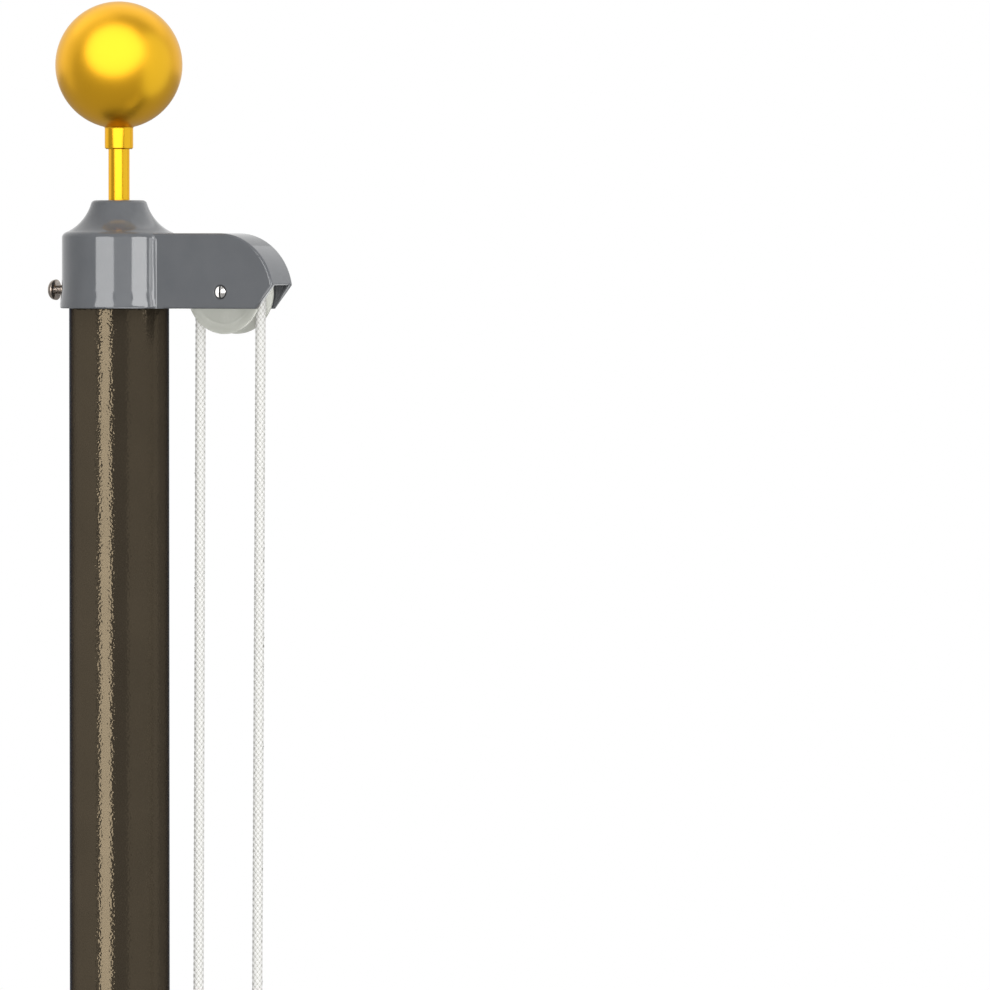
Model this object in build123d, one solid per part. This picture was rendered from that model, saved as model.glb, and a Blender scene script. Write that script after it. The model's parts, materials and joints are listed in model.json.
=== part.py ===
"""Sectional flagpole, standing assembled: five telescoping tube sections on a foot plug, a cast truck
with a pulley on the top section, a ball finial, a rope halyard with two snap hooks, and a cleat.

Millimetres, +Z up. The origin is the centre of the foot plug's bottom face, and +X is the side of
the truck arm, the halyard and the cleat.
"""

import math
import os

from build123d import *

# Pole sections
section_length = 1620.0
neck_length = 150.0
shoulder_length = 22.0
lower_tube_d = 66.0
upper_tube_d = 60.0
tube_wall = 2.0
tube_edge_round = 0.7
section_names = ["bottom_section", "second_section", "third_section", "fourth_section", "top_section"]
lower_section_count = 3

# Clearances, each on the radius unless it says otherwise
neck_clearance = 0.3
cup_clearance = 0.3
fixed_clearance = 0.05
running_clearance = 0.08
rope_clearance = 0.3
side_play = 0.3

# Foot plug
plug_flange_thickness = 2.5
plug_skirt_depth = 22.0
plug_skirt_wall = 2.0
plug_floor_thickness = 2.5
plug_hole_d = 15.0
plug_web_width = 1.6
plug_web_height = 6.0
plug_web_foot = 1.5
plug_web_seat = 2.0
plug_slit_width = 1.5
plug_slit_depth = 15.0
plug_slit_count = 8

# Truck casting: cup over the tube, bell boss for the finial and hollow arm for the pulley
cup_depth = 45.0
cup_ceiling = 4.5
cup_wall = 4.0
cup_lip_flare = 1.1
cup_lip_height = 12.0
cup_edge_round = 1.0
cup_shoulder_drop = 2.8
boss_height = 19.8
boss_top_r = 16.3
boss_waist_r = 20.8
boss_waist_height = 9.6
boss_foot_r = 30.5
boss_foot_height = 1.2
boss_edge_round = 2.8
arm_width = 26.0
arm_wall = 3.5
arm_nose_start = 75.8
arm_nose_radius = 36.5
arm_nose_drop = 31.0
arm_chamfer_run = 11.3
arm_edge_round = 1.5
arm_lip_round = 1.2
arm_root_fillet = 3.5
arm_cavity_start = 40.0

# Pulley and its axle
axle_x = 76.7
axle_drop = 35.0
axle_d = 7.6
axle_head_sink = 0.4
axle_dome_height = 0.9
axle_slot_width = 1.1
axle_slot_depth = 0.9
axle_recess_d = 9.0
axle_recess_depth = 0.8
pulley_pitch_r = 20.5
pulley_flange_r = 25.0
pulley_width = 17.0
pulley_rim_thickness = 1.6
pulley_hub_d = 15.0
pulley_rim_round = 0.5
pulley_dish_r = 18.5
pulley_dish_depth = 1.0
pulley_dish_slope = 1.0

# Truck screw, driven in from the side away from the arm
truck_screw_drop = 34.0
truck_screw_d = 6.0
truck_screw_head_d = 12.4
truck_screw_head_height = 4.0
truck_screw_head_gap = 9.2
truck_screw_tip_chamfer = 0.6
truck_recess_width = 2.0
truck_recess_length = 6.4
truck_recess_depth = 1.8

# Ball finial
rod_d = 12.7
rod_seat_depth = 18.0
rod_end_in_ball = 12.0
collar_d = 17.1
collar_height = 12.2
finial_chamfer = 0.8
ball_d = 76.2
ball_wall = 1.5
ball_hub_height = 1.0
ball_hub_fillet = 0.8
ball_centre_height = 100.7

# Cleat and its two screws
cleat_drop = 335.0
cleat_length = 174.0
cleat_base_back = 51.0
cleat_base_front = 40.0
cleat_base_thickness = 10.0
cleat_base_width = 17.5
cleat_tip_width = 7.5
cleat_reach = 38.0
cleat_tip_thickness = 5.6
cleat_edge_round = 1.8
cleat_hole_spacing = 23.0
cleat_screw_d = 4.8
cleat_screw_head_d = 10.4
cleat_screw_length = 19.0
cleat_screw_point = 5.0
cleat_mouth_d = 11.4
cleat_recess_width = 1.4
cleat_recess_length = 5.1
cleat_recess_depth = 1.4

# Curve of the cleat's horns, as shares of the run from the base to the tip
horn_front_lean = 0.64
horn_front_foot = 0.12
horn_front_sweep = 0.39
horn_back_lean = 0.56
horn_back_foot = 0.106
horn_back_sweep = 0.415

# Halyard
rope_d = 6.35

# Snap hooks, seen flat with the ring on top and the hook below it
hook_spacing = 914.0
lower_hook_rise = 512.5
hook_thickness = 6.3
hook_edge_round = 1.5
hook_ring_hole_d = 18.7
hook_ring_wall = 4.9
hook_bow_wall = 5.2
hook_bow_drop = 49.0
hook_bow_shift = 0.6
hook_eye_r = 11.2
hook_eye_drop = 48.2
hook_heel_r = 3.2
hook_heel_drop = 23.8
hook_heel_shift = 1.2
hook_neck_drop = 18.0
hook_neck_left = -6.5
hook_neck_right = 9.4
hook_neck_angle = 46.0
hook_neck_fillet = 7.0
hook_end_length = 5.0
hook_end_slant = 1.0
hook_end_crown = 1.2
hook_back_round = 12.0
hook_heel_round = 2.0
hook_end_round = 0.5
gate_thickness = 5.2
gate_edge_round = 0.5
gate_tip_width = 2.1
gate_gap = 0.9
gate_root_rise = 3.0
gate_outer_bend = (-8.7, 28.5)
gate_inner_bend = (-6.6, 32.9)

# Rope hitch that holds each snap hook on the halyard
hitch_turns = 3
hitch_turn_pitch = 6.0
hitch_loop_r = 7.7
hitch_ring_gap = 0.4
hitch_bar_drop = 1.4

# How far cutters reach past a face, and how near a place counts as on it
overcut = 1.0
near = 0.01

# Values that follow from the sizes above
lower_r = lower_tube_d / 2
upper_r = upper_tube_d / 2
rope_r = rope_d / 2
axle_r = axle_d / 2
rod_r = rod_d / 2
section_pitch = section_length - neck_length
pole_top = plug_flange_thickness + len(section_names) * section_length
pole_top -= (len(section_names) - 1) * neck_length
arm_top = pole_top + cup_ceiling
cup_bore_r = upper_r + cup_clearance
cup_r = cup_bore_r + cup_wall
boss_top = arm_top + boss_height
axle_z = arm_top - axle_drop
ball_centre = arm_top + ball_centre_height
collar_r = collar_d / 2
ball_r = ball_d / 2
ball_hub_top = ball_centre - math.sqrt(ball_r**2 - collar_r**2)
ball_seat = ball_hub_top - ball_hub_height
cleat_z = plug_flange_thickness + section_length - cleat_drop
lower_hook_height = cleat_z + lower_hook_rise
hook_ring_d = hook_ring_hole_d + 2 * hook_ring_wall
hook_bow_r = hook_eye_r + hook_bow_wall
turn_r = 2 * rope_r + rope_clearance


def outer_radius(index):
    """Outer radius of the section with this place in the stack, counted from the ground."""
    return lower_r if index < lower_section_count else upper_r


def section_bottom(index):
    return plug_flange_thickness + index * section_pitch


def round_cutter(radius, depth, place):
    """A round cutter of the given depth, centred on a plane's origin along its normal."""
    return place * Cylinder(radius, depth)


def slab(face, plane, thickness):
    """A face drawn on a plane, given a thickness that is centred on that plane."""
    return extrude(plane.offset(-thickness / 2) * face, thickness)


def tube_section(index):
    """One pole section. All but the top one end in a swaged neck that enters the next section."""
    outer = outer_radius(index)
    low = section_bottom(index)
    high = low + section_length
    if index == len(section_names) - 1:
        corners = [(outer - tube_wall, low), (outer, low), (outer, high), (outer - tube_wall, high)]
        profile = make_face(Polyline(*corners, close=True))
        tube = revolve(Plane.XZ * profile, Axis.Z)
        return fillet(tube.edges().group_by(Axis.Z)[-1].sort_by(SortBy.RADIUS)[-1], tube_edge_round)
    neck = outer_radius(index + 1) - tube_wall - neck_clearance
    shoulder_top = high - neck_length
    shoulder_low = shoulder_top - shoulder_length
    shoulder_mid = (shoulder_top + shoulder_low) / 2

    def shoulder(inset, upward):
        """The S-shaped swage between the body and the neck, on the outside or inside of the wall."""
        points = [(outer - inset, shoulder_low), (outer - inset, shoulder_mid)]
        points += [(neck - inset, shoulder_mid), (neck - inset, shoulder_top)]
        return Bezier(*(points if upward else reversed(points)))

    outline = [
        Line((outer - tube_wall, low), (outer, low)),
        Line((outer, low), (outer, shoulder_low)),
        shoulder(0, True),
        Line((neck, shoulder_top), (neck, high)),
        Line((neck, high), (neck - tube_wall, high)),
        Line((neck - tube_wall, high), (neck - tube_wall, shoulder_top)),
        shoulder(tube_wall, False),
        Line((outer - tube_wall, shoulder_low), (outer - tube_wall, low)),
    ]
    tube = revolve(Plane.XZ * make_face(outline), Axis.Z)
    return fillet(tube.edges().group_by(Axis.Z)[-1].sort_by(SortBy.RADIUS)[-1], tube_edge_round)


def bottom_section():
    """The lowest section, drilled through its front wall for the two cleat screws."""
    tube = tube_section(0)
    for height in cleat_screw_heights():
        place = Plane(origin=(lower_r, 0, height), z_dir=(1, 0, 0))
        tube -= round_cutter(cleat_screw_d / 2 + fixed_clearance, 3 * tube_wall, place)
    return tube


def foot_plug():
    """Moulded plug: a flange as wide as the tube, a slit skirt in its bore and a webbed drain hole."""
    skirt_r = lower_r - tube_wall - neck_clearance
    flange = Cylinder(lower_r, plug_flange_thickness, align=(Align.CENTER, Align.CENTER, Align.MIN))
    flange = fillet(flange.edges().group_by(Axis.Z)[0], tube_edge_round)
    skirt_height = plug_flange_thickness + plug_skirt_depth
    skirt = Cylinder(skirt_r, skirt_height, align=(Align.CENTER, Align.CENTER, Align.MIN))
    skirt = chamfer(skirt.edges().group_by(Axis.Z)[-1], tube_edge_round)
    plug = flange + skirt
    hollow_height = skirt_height - plug_floor_thickness
    hollow = Cylinder(skirt_r - plug_skirt_wall, hollow_height, align=(Align.CENTER, Align.CENTER, Align.MIN))
    plug -= Pos(0, 0, plug_floor_thickness) * hollow
    plug -= Cylinder(plug_hole_d / 2, 4 * plug_floor_thickness)
    slit = Box(plug_skirt_wall * 4, plug_slit_width, plug_slit_depth)
    slit = Pos(skirt_r, 0, skirt_height - plug_slit_depth / 2) * slit
    for step in range(plug_slit_count):
        plug -= Rot(0, 0, (step + 0.5) * 360 / plug_slit_count) * slit
    web_length = plug_hole_d + 2 * plug_web_seat
    web = Box(web_length, plug_web_width, plug_web_height, align=(Align.CENTER, Align.CENTER, Align.MIN))
    cross = web + Rot(0, 0, 90) * web
    return plug + Pos(0, 0, plug_web_foot) * cross


def cup_and_boss():
    """The turned part of the casting: the cup with its flared lip and the concave bell boss above."""
    lip_r = cup_r + cup_lip_flare
    lip_foot = 3 * cup_edge_round - cup_depth
    lip_top = cup_lip_height - cup_depth
    bell_foot = (boss_foot_r, boss_foot_height)
    bore_foot = boss_height - rod_seat_depth
    bore_r = rod_r + fixed_clearance
    outline = [
        Line((0, bore_foot), (bore_r, bore_foot)),
        Line((bore_r, bore_foot), (bore_r, boss_height)),
        Line((bore_r, boss_height), (boss_top_r, boss_height)),
        ThreePointArc((boss_top_r, boss_height), (boss_waist_r, boss_waist_height), bell_foot),
        Bezier(bell_foot, (cup_r, 0), (cup_r, -cup_shoulder_drop)),
        Line((cup_r, -cup_shoulder_drop), (cup_r, lip_top)),
        Line((cup_r, lip_top), (lip_r, lip_foot)),
        Line((lip_r, lip_foot), (lip_r, -cup_depth)),
        Line((lip_r, -cup_depth), (cup_bore_r, -cup_depth)),
        Line((cup_bore_r, -cup_depth), (cup_bore_r, -cup_ceiling)),
        Line((cup_bore_r, -cup_ceiling), (0, -cup_ceiling)),
        Line((0, -cup_ceiling), (0, bore_foot)),
    ]
    turned = revolve(Plane.XZ * make_face(outline), Axis.Z)
    top_edge = turned.edges().group_by(Axis.Z)[-1].sort_by(SortBy.RADIUS)[-1]
    turned = fillet(top_edge, boss_edge_round)
    lip_edge = turned.edges().group_by(Axis.Z)[0].sort_by(SortBy.RADIUS)[-1]
    return fillet(lip_edge, cup_edge_round)


def arm_nose(inset):
    """The arm's round nose seen from the side, shrunk by the inset, and how far it reaches."""
    radius = arm_nose_radius - inset
    reach = arm_nose_start + math.sqrt(radius**2 - (arm_nose_radius - arm_nose_drop) ** 2)
    middle = polar((arm_nose_start, -arm_nose_radius), radius, 45)
    return ThreePointArc((arm_nose_start, -inset), middle, (reach, -arm_nose_drop)), reach


def arm_side_view():
    """The whole arm seen from the side: flat top, round nose and a chamfer back to its flat underside."""
    nose, reach = arm_nose(0)
    outline = [
        Line((0, 0), (arm_nose_start, 0)),
        nose,
        Line((reach, -arm_nose_drop), (reach - arm_chamfer_run, -cup_depth)),
        Line((reach - arm_chamfer_run, -cup_depth), (0, -cup_depth)),
        Line((0, -cup_depth), (0, 0)),
    ]
    return make_face(outline)


def arm_cavity():
    """The pulley space seen from the side, open below and along the chamfer."""
    nose, reach = arm_nose(arm_wall)
    beyond = arm_nose_start + 2 * arm_nose_radius
    below = -cup_depth - overcut
    outline = [
        Line((arm_cavity_start, -arm_wall), (arm_nose_start, -arm_wall)),
        nose,
        Line((reach, -arm_nose_drop), (beyond, -arm_nose_drop)),
        Line((beyond, -arm_nose_drop), (beyond, below)),
        Line((beyond, below), (arm_cavity_start, below)),
        Line((arm_cavity_start, below), (arm_cavity_start, -arm_wall)),
    ]
    return make_face(outline)


def truck_arm():
    """The arm: two whole side walls, and between them its roof and nose round the pulley space."""
    side = arm_side_view()
    reach = arm_nose(0)[1]
    shell = side - arm_cavity()
    lip = [v for v in shell.vertices() if abs(v.X - reach) < near and abs(v.Y + arm_nose_drop) < near]
    arm = slab(fillet(lip, arm_lip_round), Plane.XZ, arm_width - 2 * arm_wall)
    for direction in (-1, 1):
        wall_place = Plane.XZ.offset(direction * (arm_width - arm_wall) / 2)
        arm += slab(side, wall_place, arm_wall)
    outer = [edge for edge in arm.edges() if abs(abs(edge.center().Y) - arm_width / 2) < near]
    return fillet([edge for edge in outer if edge.center().X > cup_r / 2], arm_edge_round)


def arm_root():
    """The vertical fillets where the arm's sides leave the cup, as a plan drawn up the cup."""
    plan = Circle(cup_r) + Pos(cup_r / 2, 0) * Rectangle(cup_r + 2 * arm_root_fillet, arm_width)
    half = arm_width / 2
    inner = [v for v in plan.vertices() if abs(abs(v.Y) - half) < near and v.X < cup_r]
    plan = fillet(inner, arm_root_fillet)
    return Pos(0, 0, -cup_depth) * extrude(plan, cup_depth - cup_shoulder_drop - arm_edge_round)


def truck_body():
    """The casting in one piece, with its bore, pulley space, axle holes and screw hole."""
    body = cup_and_boss() + truck_arm() + arm_root()
    bore_height = cup_depth - cup_ceiling
    bore = Cylinder(cup_bore_r, bore_height, align=(Align.CENTER, Align.CENTER, Align.MAX))
    body -= Pos(0, 0, -cup_ceiling) * bore
    axle_place = Plane(origin=(axle_x, 0, -axle_drop), z_dir=(0, 1, 0))
    body -= round_cutter(axle_r + fixed_clearance, 2 * arm_width, axle_place)
    for side in (-1, 1):
        face = Plane(origin=(axle_x, side * arm_width / 2, -axle_drop), z_dir=(0, 1, 0))
        body -= round_cutter(axle_recess_d / 2, 2 * axle_recess_depth, face)
    screw_place = Plane(origin=(-cup_bore_r, 0, -truck_screw_drop), z_dir=(1, 0, 0))
    body -= round_cutter(truck_screw_d / 2 + fixed_clearance, 4 * cup_wall, screw_place)
    return Pos(0, 0, arm_top) * body


def pulley_wheel():
    """Grooved nylon wheel: the rope's round in the groove, thin rims and a hub on each side."""
    half = pulley_width / 2
    rim = half - pulley_rim_thickness
    hub_half = arm_width / 2 - arm_wall - side_play
    hub_r = pulley_hub_d / 2
    bore = axle_r + running_clearance
    seat = rope_r + rope_clearance
    web = half - pulley_dish_depth
    side_points = [(pulley_flange_r, half), (pulley_dish_r + pulley_dish_slope, half)]
    side_points += [(pulley_dish_r, web), (hub_r + pulley_dish_slope, web)]
    side_points += [(hub_r, hub_half), (bore, hub_half)]
    upper = [(pulley_pitch_r, seat), (pulley_flange_r, rim)] + side_points
    lower = [(r, -y) for r, y in reversed(upper)]
    groove = ThreePointArc((pulley_pitch_r, -seat), (pulley_pitch_r - seat, 0), (pulley_pitch_r, seat))
    outline = [groove, Polyline(*upper), Line(upper[-1], lower[0]), Polyline(*lower)]
    wheel = revolve(make_face(outline), Axis.Y)
    circles = wheel.edges().filter_by(GeomType.CIRCLE)
    rims = [edge for edge in circles if abs(edge.radius - pulley_flange_r) < near]
    wheel = fillet(rims, pulley_rim_round)
    return Pos(axle_x, 0, axle_z) * wheel


def pulley_axle():
    """Pin across both arm walls with a low dome at each end and a screwdriver slot in the near one."""
    half = arm_width / 2 - axle_head_sink
    pin = Cylinder(axle_r, 2 * half)
    dome_r = (axle_r**2 + axle_dome_height**2) / (2 * axle_dome_height)
    top_slice = Box(4 * axle_r, 4 * axle_r, axle_dome_height)
    cap = Sphere(dome_r) & Pos(0, 0, dome_r - axle_dome_height / 2) * top_slice
    cap = Pos(0, 0, half - dome_r + axle_dome_height) * cap
    pin += cap
    pin += Rot(180, 0, 0) * cap
    slot = Box(axle_slot_width, 4 * axle_r, 2 * axle_slot_depth)
    pin -= Pos(0, 0, half + axle_dome_height) * slot
    place = Plane(origin=(axle_x, 0, axle_z), x_dir=(1, 0, 0), z_dir=(0, -1, 0))
    return place * pin


def cross_recess(width, length, depth):
    """Cutter for the crossed driver recess in a screw head, its mouth on the XY plane."""
    bar = Box(length, width, depth, align=(Align.CENTER, Align.CENTER, Align.MAX))
    return bar + Rot(0, 0, 90) * bar


def truck_screw():
    """Pan-head machine screw that clamps the truck on the tube, its head standing off the cup."""
    tip = upper_r + fixed_clearance
    head_foot = cup_r + truck_screw_head_gap
    head_top = head_foot + truck_screw_head_height
    head_r = truck_screw_head_d / 2
    shank_r = truck_screw_d / 2
    outline = [
        Line((0, tip), (shank_r - truck_screw_tip_chamfer, tip)),
        Line((shank_r - truck_screw_tip_chamfer, tip), (shank_r, tip + truck_screw_tip_chamfer)),
        Line((shank_r, tip + truck_screw_tip_chamfer), (shank_r, head_foot)),
        Line((shank_r, head_foot), (head_r, head_foot)),
        Bezier((head_r, head_foot), (head_r, head_top), (head_r / 2, head_top), (0, head_top)),
        Line((0, head_top), (0, tip)),
    ]
    screw = revolve(Plane.XZ * make_face(outline), Axis.Z)
    recess = cross_recess(truck_recess_width, truck_recess_length, truck_recess_depth)
    screw -= Pos(0, 0, head_top) * recess
    place = Plane(origin=(0, 0, arm_top - truck_screw_drop), x_dir=(0, 1, 0), z_dir=(-1, 0, 0))
    return place * screw


def finial_rod():
    foot = boss_top - rod_seat_depth
    top = ball_seat + rod_end_in_ball
    rod = Cylinder(rod_r, top - foot, align=(Align.CENTER, Align.CENTER, Align.MIN))
    return Pos(0, 0, foot) * chamfer(rod.edges().filter_by(GeomType.CIRCLE), finial_chamfer)


def finial_collar():
    """Collar on the rod, its flat top under the ball's hub."""
    collar = Cylinder(collar_r, collar_height, align=(Align.CENTER, Align.CENTER, Align.MAX))
    collar = chamfer(collar.edges().group_by(Axis.Z)[0], finial_chamfer)
    collar -= Cylinder(rod_r + fixed_clearance, 3 * collar_height)
    return Pos(0, 0, ball_seat) * collar


def finial_ball():
    """Hollow spun ball on a short hub as wide as the collar, with a hole for the rod."""
    ball = Sphere(ball_r) - Sphere(ball_r - ball_wall)
    hub_drop = ball_centre - ball_hub_top
    hub_height = ball_hub_height + ball_wall
    hub = Cylinder(collar_r, hub_height, align=(Align.CENTER, Align.CENTER, Align.MIN))
    ball += Pos(0, 0, -hub_drop - ball_hub_height) * hub
    circles = ball.edges().filter_by(GeomType.CIRCLE)
    root = [edge for edge in circles if abs(edge.center().Z + hub_drop) < near]
    ball = fillet(root, ball_hub_fillet)
    ball -= Pos(0, 0, -ball_r) * Cylinder(rod_r + fixed_clearance, ball_r)
    return Pos(0, 0, ball_centre) * ball


def cleat_screw_heights():
    return [cleat_z + cleat_hole_spacing / 2, cleat_z - cleat_hole_spacing / 2]


def cleat_side_view():
    """Upper half of the cleat seen from the side: depth from the pole, then height."""
    tip = cleat_length / 2
    back_foot = cleat_base_back / 2
    front_foot = cleat_base_front / 2
    reach = cleat_reach
    back = reach - cleat_tip_thickness
    front_run = tip - front_foot
    front_lean = cleat_base_thickness + horn_front_lean * (reach - cleat_base_thickness)
    back_run = tip - back_foot
    front_curve = [
        (cleat_base_thickness, front_foot),
        (front_lean, front_foot + horn_front_foot * front_run),
        (reach, front_foot + horn_front_sweep * front_run),
        (reach, tip),
    ]
    back_curve = [
        (back, tip),
        (back, back_foot + horn_back_sweep * back_run),
        (horn_back_lean * back, back_foot + horn_back_foot * back_run),
        (0, back_foot),
    ]
    outline = [
        Line((0, 0), (cleat_base_thickness, 0)),
        Line((cleat_base_thickness, 0), (cleat_base_thickness, front_foot)),
        Bezier(*front_curve),
        Line((reach, tip), (back, tip)),
        Bezier(*back_curve),
        Line((0, back_foot), (0, 0)),
    ]
    return make_face(outline)


def cleat():
    """Two-horned cleat with a saddle back on the tube and two countersunk holes in its base."""
    side = cleat_side_view()
    side = (side + mirror(side, Plane.XZ)).clean()
    body = slab(side, Plane.XZ, cleat_base_width)
    tip = cleat_length / 2
    wide = cleat_base_width / 2
    narrow = cleat_tip_width / 2
    plan = [
        ThreePointArc((narrow, -tip), (wide, 0), (narrow, tip)),
        Line((narrow, tip), (-narrow, tip)),
        ThreePointArc((-narrow, tip), (-wide, 0), (-narrow, -tip)),
        Line((-narrow, -tip), (narrow, -tip)),
    ]
    body &= slab(make_face(plan), Plane.YZ, 4 * cleat_reach)
    body = fillet([edge for edge in body.edges() if on_front(edge)], cleat_edge_round)
    body = Pos(lower_r, 0, cleat_z) * body
    saddle = Cylinder(lower_r + fixed_clearance, 2 * cleat_length)
    body -= Pos(0, 0, cleat_z) * saddle
    for height in cleat_screw_heights():
        place = Plane(origin=(lower_r + cleat_base_thickness, 0, height), z_dir=(1, 0, 0))
        body -= place * countersunk_hole()
    return body


def on_front(edge):
    """True for the long edges along the outer side of the cleat, away from the pole."""
    middle = edge.position_at(0.5)
    if abs(middle.Y) < near or abs(middle.Z) > cleat_length / 2 - near:
        return False
    on_base = abs(middle.Z) < near and middle.X > cleat_base_thickness / 2
    return on_base or middle.X > 0.75 * cleat_reach


def countersunk_hole():
    """Cutter for a screw hole whose conical mouth opens on the XY plane."""
    mouth = cleat_mouth_d / 2
    shank = cleat_screw_d / 2 + fixed_clearance
    depth = mouth - shank
    outline = [
        (0, overcut),
        (mouth + overcut, overcut),
        (shank, -depth),
        (shank, -2 * cleat_base_thickness),
        (0, -2 * cleat_base_thickness),
    ]
    return revolve(Plane.XZ * make_face(Polyline(*outline, close=True)), Axis.Z)


def cleat_screw(height):
    """Countersunk self-tapping screw through the cleat's base and the tube wall."""
    head_r = cleat_screw_head_d / 2
    shank_r = cleat_screw_d / 2
    head_top = head_r - cleat_mouth_d / 2 + 2 * fixed_clearance
    cone = head_r - shank_r
    points = [
        (0, head_top),
        (head_r, head_top),
        (shank_r, head_top - cone),
        (shank_r, head_top - cleat_screw_length + cleat_screw_point),
        (0, head_top - cleat_screw_length),
    ]
    screw = revolve(Plane.XZ * make_face(Polyline(*points, close=True)), Axis.Z)
    recess = cross_recess(cleat_recess_width, cleat_recess_length, cleat_recess_depth)
    screw -= Pos(0, 0, head_top) * recess
    place = Plane(origin=(lower_r + cleat_base_thickness, 0, height), x_dir=(0, 1, 0), z_dir=(1, 0, 0))
    return place * screw


def on_cleat(depth, side, rise):
    """A point given by its depth off the pole, its side offset and its rise over the cleat's middle."""
    return Vector(lower_r + depth, side, cleat_z + rise)


# The halyard's route round the cleat, from the foot of the inner leg to the foot of the outer leg.
cleat_route = [
    on_cleat(9, -23, 45),
    on_cleat(7, -22, 24),
    on_cleat(6, -15, -7),
    on_cleat(6, -14.2, -26),
    on_cleat(6, -7, -40),
    on_cleat(6, 7, -40),
    on_cleat(7, 14.6, -25),
    on_cleat(14.6, 11, -13),
    on_cleat(14.6, -11, 13),
    on_cleat(8, -14.8, 25),
    on_cleat(8, -7, 40),
    on_cleat(8, 7, 40),
    on_cleat(8, 14.8, 25),
    on_cleat(15, 12, 15),
    on_cleat(21.6, 2.6, 3.2),
    on_cleat(21.6, -2.6, -3.2),
    on_cleat(15, -12, -15),
    on_cleat(13, -15.2, -28),
    on_cleat(13, -7, -48),
    on_cleat(13, 7, -48),
    on_cleat(13.2, 18.2, -31),
    on_cleat(13, 19.6, -5),
    on_cleat(13, 21.4, 45),
]
inner_leg_top = Vector(axle_x - pulley_pitch_r, 0, axle_z)
outer_leg_top = Vector(axle_x + pulley_pitch_r, 0, axle_z)
inner_leg_foot = cleat_route[0]
outer_leg_foot = cleat_route[-1]
outer_leg_up = (outer_leg_top - outer_leg_foot).normalized()


def corner_radii(points):
    """Bend radius at each inner corner, as large as its two runs allow."""
    radii = []
    for before, here, after in zip(points, points[1:], points[2:]):
        turn = math.radians((here - before).get_angle(after - here))
        shorter = min((here - before).length, (after - here).length)
        radii.append(0.45 * shorter / math.tan(turn / 2))
    return radii


def leg(top, foot):
    """A straight halyard leg, cut level at the pulley's height and square at its foot."""
    up = (top - foot).normalized()
    length = (top - foot).length
    tube = Plane(origin=foot, z_dir=up) * extrude(Circle(rope_r), length + rope_d)
    cutter = Box(4 * rope_d, 4 * rope_d, 4 * rope_d, align=(Align.CENTER, Align.CENTER, Align.MIN))
    above = Pos(top.X, top.Y, top.Z) * cutter
    return tube - above


def halyard_over_pulley():
    """The half turn of rope in the pulley's groove."""
    half_turn = revolve(Pos(pulley_pitch_r, 0) * Circle(rope_r), Axis.Y, -180)
    return Pos(axle_x, 0, axle_z) * half_turn


def halyard_cleat_turns():
    """The figure-eight turns on the cleat: straight runs joined by tangent arcs."""
    inner_down = (inner_leg_foot - inner_leg_top).normalized()
    start = inner_leg_foot
    first = start + inner_down * (cleat_route[1] - start).length
    last = outer_leg_foot - outer_leg_up * (cleat_route[-2] - outer_leg_foot).length
    points = [start, first, *cleat_route[2:-2], last, outer_leg_foot]
    radii = corner_radii(points)
    print("halyard bend radii on the cleat:", [round(radius, 1) for radius in radii])
    path = FilletPolyline(*points, radius=radii)
    section = Plane(origin=start, z_dir=first - start) * Circle(rope_r)
    print("halyard turns length:", round(path.length, 1))
    return sweep(section, path)


def polar(centre, radius, degrees):
    """The point of a circle at an angle from the X axis."""
    angle = math.radians(degrees)
    return (centre[0] + radius * math.cos(angle), centre[1] + radius * math.sin(angle))


def tangent_angle(big, big_r, small, small_r):
    """Angle of the outer tangent's normal, on the right of the line from a big to a small circle."""
    away = math.atan2(small[1] - big[1], small[0] - big[0])
    distance = math.dist(big, small)
    return math.degrees(away + math.acos((big_r - small_r) / distance))


def hook_outline():
    """Flat outline of a snap hook without its gate: ring, neck, back and bow, drops measured down."""
    bow = (hook_bow_shift, hook_bow_drop)
    eye = (0, hook_eye_drop)
    heel = (hook_heel_shift, hook_heel_drop)
    neck_right = (hook_neck_right, hook_neck_drop)
    neck_left = (hook_neck_left, hook_neck_drop)
    back = tangent_angle(bow, hook_bow_r, neck_right, 0)
    inside = tangent_angle(eye, hook_eye_r, heel, hook_heel_r)
    eye_left = (-hook_eye_r, hook_eye_drop)
    eye_right = polar(eye, hook_eye_r, inside)
    mouth = (-hook_eye_r, hook_eye_drop - hook_end_length)
    end_angle = 180 + math.degrees(math.asin((hook_bow_drop - mouth[1] - hook_end_slant) / hook_bow_r))
    end_outer = polar(bow, hook_bow_r, end_angle)
    end_crown = ((mouth[0] + end_outer[0]) / 2, mouth[1] - hook_end_crown)
    heel_middle = polar(heel, hook_heel_r, (inside - 90) / 2)
    ring_left = polar((0, 0), hook_ring_d / 2, 180 - hook_neck_angle)
    ring_right = polar((0, 0), hook_ring_d / 2, hook_neck_angle)
    outline = [
        Line(neck_right, polar(bow, hook_bow_r, back)),
        ThreePointArc(polar(bow, hook_bow_r, back), polar(bow, hook_bow_r, 90), end_outer),
        ThreePointArc(end_outer, end_crown, mouth),
        Line(mouth, eye_left),
        ThreePointArc(eye_left, polar(eye, hook_eye_r, 90), eye_right),
        Line(eye_right, polar(heel, hook_heel_r, inside)),
        ThreePointArc(polar(heel, hook_heel_r, inside), heel_middle, polar(heel, hook_heel_r, -90)),
        Line(polar(heel, hook_heel_r, -90), neck_left),
        Line(neck_left, ring_left),
        Line(ring_left, ring_right),
        Line(ring_right, neck_right),
    ]
    flat = make_face(outline) + Circle(hook_ring_d / 2)
    flat = round_corners(flat, [ring_left, ring_right], hook_neck_fillet)
    flat = round_corners(flat, [neck_right], hook_back_round)
    flat = round_corners(flat, [neck_left, polar(heel, hook_heel_r, -90)], hook_heel_round)
    flat = round_corners(flat, [end_outer, mouth], hook_end_round)
    return flat - Circle(hook_ring_hole_d / 2)


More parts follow.
